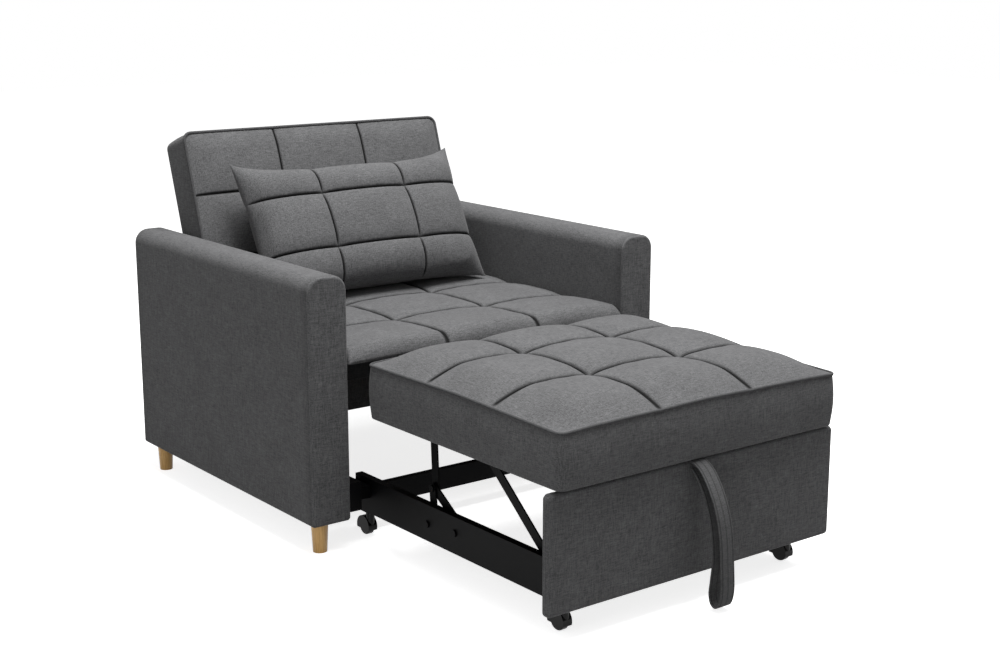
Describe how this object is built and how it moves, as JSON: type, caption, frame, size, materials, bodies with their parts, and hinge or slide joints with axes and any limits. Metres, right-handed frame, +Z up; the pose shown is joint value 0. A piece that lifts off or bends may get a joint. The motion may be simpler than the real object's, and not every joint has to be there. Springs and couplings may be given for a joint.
{
  "type": "convertible chair bed",
  "caption": "Upholstered armchair that opens into a single bed: reclining backrest, loose pillow, and a tufted cushion on folding links over a rolling pull-out base.",
  "frame": {"origin": "on the floor, under the middle of the part's box with the bed pulled out", "axes": "+Z up, -Y the way the chair faces and the base pulls out, +X to the right of someone looking along +Y"},
  "size_m": [0.99, 1.6539, 0.8661],
  "materials": {
    "upholstery": "woven charcoal grey cloth over foam",
    "strap_webbing": "folded charcoal cloth band",
    "dust_cloth": "black non-woven dust cloth wrapped over the rail",
    "lumber": "rough sawn pine",
    "plywood": "plain birch plywood",
    "foot_wood": "clear satin lacquer",
    "black_steel": "black powder coat",
    "zinc_steel": "zinc plated",
    "caster_hood": "moulded black nylon",
    "caster_wheel": "moulded black nylon tread"
  },
  "bodies": {
    "chair": {"arm_cover_left": "upholstery", "arm_cover_right": "upholstery", "arm_frame_left": "lumber", "arm_frame_right": "lumber", "foot_front_left": "foot_wood", "foot_front_right": "foot_wood", "foot_rear_left": "foot_wood", "foot_rear_right": "foot_wood", "foot_studs": "zinc_steel", "guide_rail_left": "black_steel", "guide_rail_right": "black_steel", "rear_panel": "upholstery", "recline_plate_left": "black_steel", "recline_plate_right": "black_steel", "seat_cushion": "upholstery", "seat_front_rail": "dust_cloth", "seat_rail_left": "lumber", "seat_rail_right": "lumber", "seat_rear_rail": "lumber", "seat_slats": "lumber"},
    "backrest": {"backrest_cushion": "upholstery", "backrest_shell": "upholstery", "backrest_slats": "lumber", "backrest_uprights": "lumber", "lumbar_pillow": "upholstery", "recline_bar_left": "black_steel", "recline_bar_right": "black_steel", "recline_pins": "zinc_steel"},
    "carriage": {"caster_plates": "black_steel", "front_panel": "upholstery", "front_rail": "black_steel", "glide_block_left": "black_steel", "glide_block_right": "black_steel", "lift_post_left": "black_steel", "lift_post_right": "black_steel", "linkage_rivets": "black_steel", "post_brace_left": "black_steel", "post_brace_right": "black_steel", "pull_strap": "strap_webbing", "rear_crossbar": "black_steel", "side_board_left": "black_steel", "side_board_right": "black_steel"},
    "pullout": {"hanger_pins": "black_steel", "link_hanger_left": "black_steel", "link_hanger_right": "black_steel", "pullout_base": "plywood", "pullout_cushion": "upholstery"},
    "lift_link_left": {"lift_link_left": "black_steel"},
    "lift_link_right": {"lift_link_right": "black_steel"},
    "stay_left": {"stay_left": "black_steel"},
    "stay_right": {"stay_right": "black_steel"},
    "caster_wheel_front_left": {"caster_wheel_front_left": "caster_wheel"},
    "caster_wheel_front_right": {"caster_wheel_front_right": "caster_wheel"},
    "caster_wheel_rear_left": {"caster_wheel_rear_left": "caster_wheel"},
    "caster_wheel_rear_right": {"caster_wheel_rear_right": "caster_wheel"},
    "caster_yoke_front_left": {"caster_yoke_front_left": "caster_hood"},
    "caster_yoke_front_right": {"caster_yoke_front_right": "caster_hood"},
    "caster_yoke_rear_left": {"caster_yoke_rear_left": "caster_hood"},
    "caster_yoke_rear_right": {"caster_yoke_rear_right": "caster_hood"}
  },
  "joints": [
    {"name": "backrest_recline", "type": "hinge", "parent": "chair", "child": "backrest", "pos_m": [0, 0.63079, 0.4], "axis": [-1, 0, 0], "range_deg": [0, 72]},
    {"name": "carriage_slide", "type": "slide", "parent": "chair", "child": "carriage", "axis": [0, 1, 0], "range_m": [0, 0.035]},
    {"name": "cushion_lift", "type": "hinge", "parent": "carriage", "child": "lift_link_left", "pos_m": [0, -0.24721, 0.176], "axis": [-1, 0, 0], "range_deg": [0, 88]},
    {"name": "cushion_level", "type": "hinge", "parent": "lift_link_left", "child": "pullout", "pos_m": [0, -0.24082, 0.29783], "axis": [-1, 0, 0], "range_deg": [-88, 0]},
    {"name": "right_link_turn", "type": "hinge", "parent": "carriage", "child": "lift_link_right", "pos_m": [0, -0.24721, 0.176], "axis": [-1, 0, 0], "range_deg": [0, 88]},
    {"name": "stay_left_fold", "type": "hinge", "parent": "carriage", "child": "stay_left", "pos_m": [0, -0.66621, 0.112], "axis": [-1, 0, 0], "range_deg": [0, 27.72]},
    {"name": "stay_right_fold", "type": "hinge", "parent": "carriage", "child": "stay_right", "pos_m": [0, -0.66621, 0.112], "axis": [-1, 0, 0], "range_deg": [0, 27.72]},
    {"name": "caster_swivel_front_left", "type": "hinge", "parent": "carriage", "child": "caster_yoke_front_left", "pos_m": [-0.314, -0.69421, 0], "axis": [0, 0, 1], "continuous": true},
    {"name": "caster_roll_front_left", "type": "hinge", "parent": "caster_yoke_front_left", "child": "caster_wheel_front_left", "pos_m": [-0.314, -0.68021, 0.021], "axis": [1, 0, 0], "continuous": true},
    {"name": "caster_swivel_front_right", "type": "hinge", "parent": "carriage", "child": "caster_yoke_front_right", "pos_m": [0.314, -0.69421, 0], "axis": [0, 0, 1], "continuous": true},
    {"name": "caster_roll_front_right", "type": "hinge", "parent": "caster_yoke_front_right", "child": "caster_wheel_front_right", "pos_m": [0.314, -0.68021, 0.021], "axis": [1, 0, 0], "continuous": true},
    {"name": "caster_swivel_rear_left", "type": "hinge", "parent": "carriage", "child": "caster_yoke_rear_left", "pos_m": [-0.314, -0.00221, 0], "axis": [0, 0, 1], "continuous": true},
    {"name": "caster_roll_rear_left", "type": "hinge", "parent": "caster_yoke_rear_left", "child": "caster_wheel_rear_left", "pos_m": [-0.314, 0.01179, 0.021], "axis": [1, 0, 0], "continuous": true},
    {"name": "caster_swivel_rear_right", "type": "hinge", "parent": "carriage", "child": "caster_yoke_rear_right", "pos_m": [0.314, -0.00221, 0], "axis": [0, 0, 1], "continuous": true},
    {"name": "caster_roll_rear_right", "type": "hinge", "parent": "caster_yoke_rear_right", "child": "caster_wheel_rear_right", "pos_m": [0.314, 0.01179, 0.021], "axis": [1, 0, 0], "continuous": true}
  ],
  "couplings": [
    {"joint": "cushion_level", "follows": "cushion_lift", "ratio": -1},
    {"joint": "right_link_turn", "follows": "cushion_lift", "ratio": 1},
    {"joint": "stay_left_fold", "follows": "cushion_lift", "ratio": 0.315},
    {"joint": "stay_right_fold", "follows": "cushion_lift", "ratio": 0.315}
  ]
}
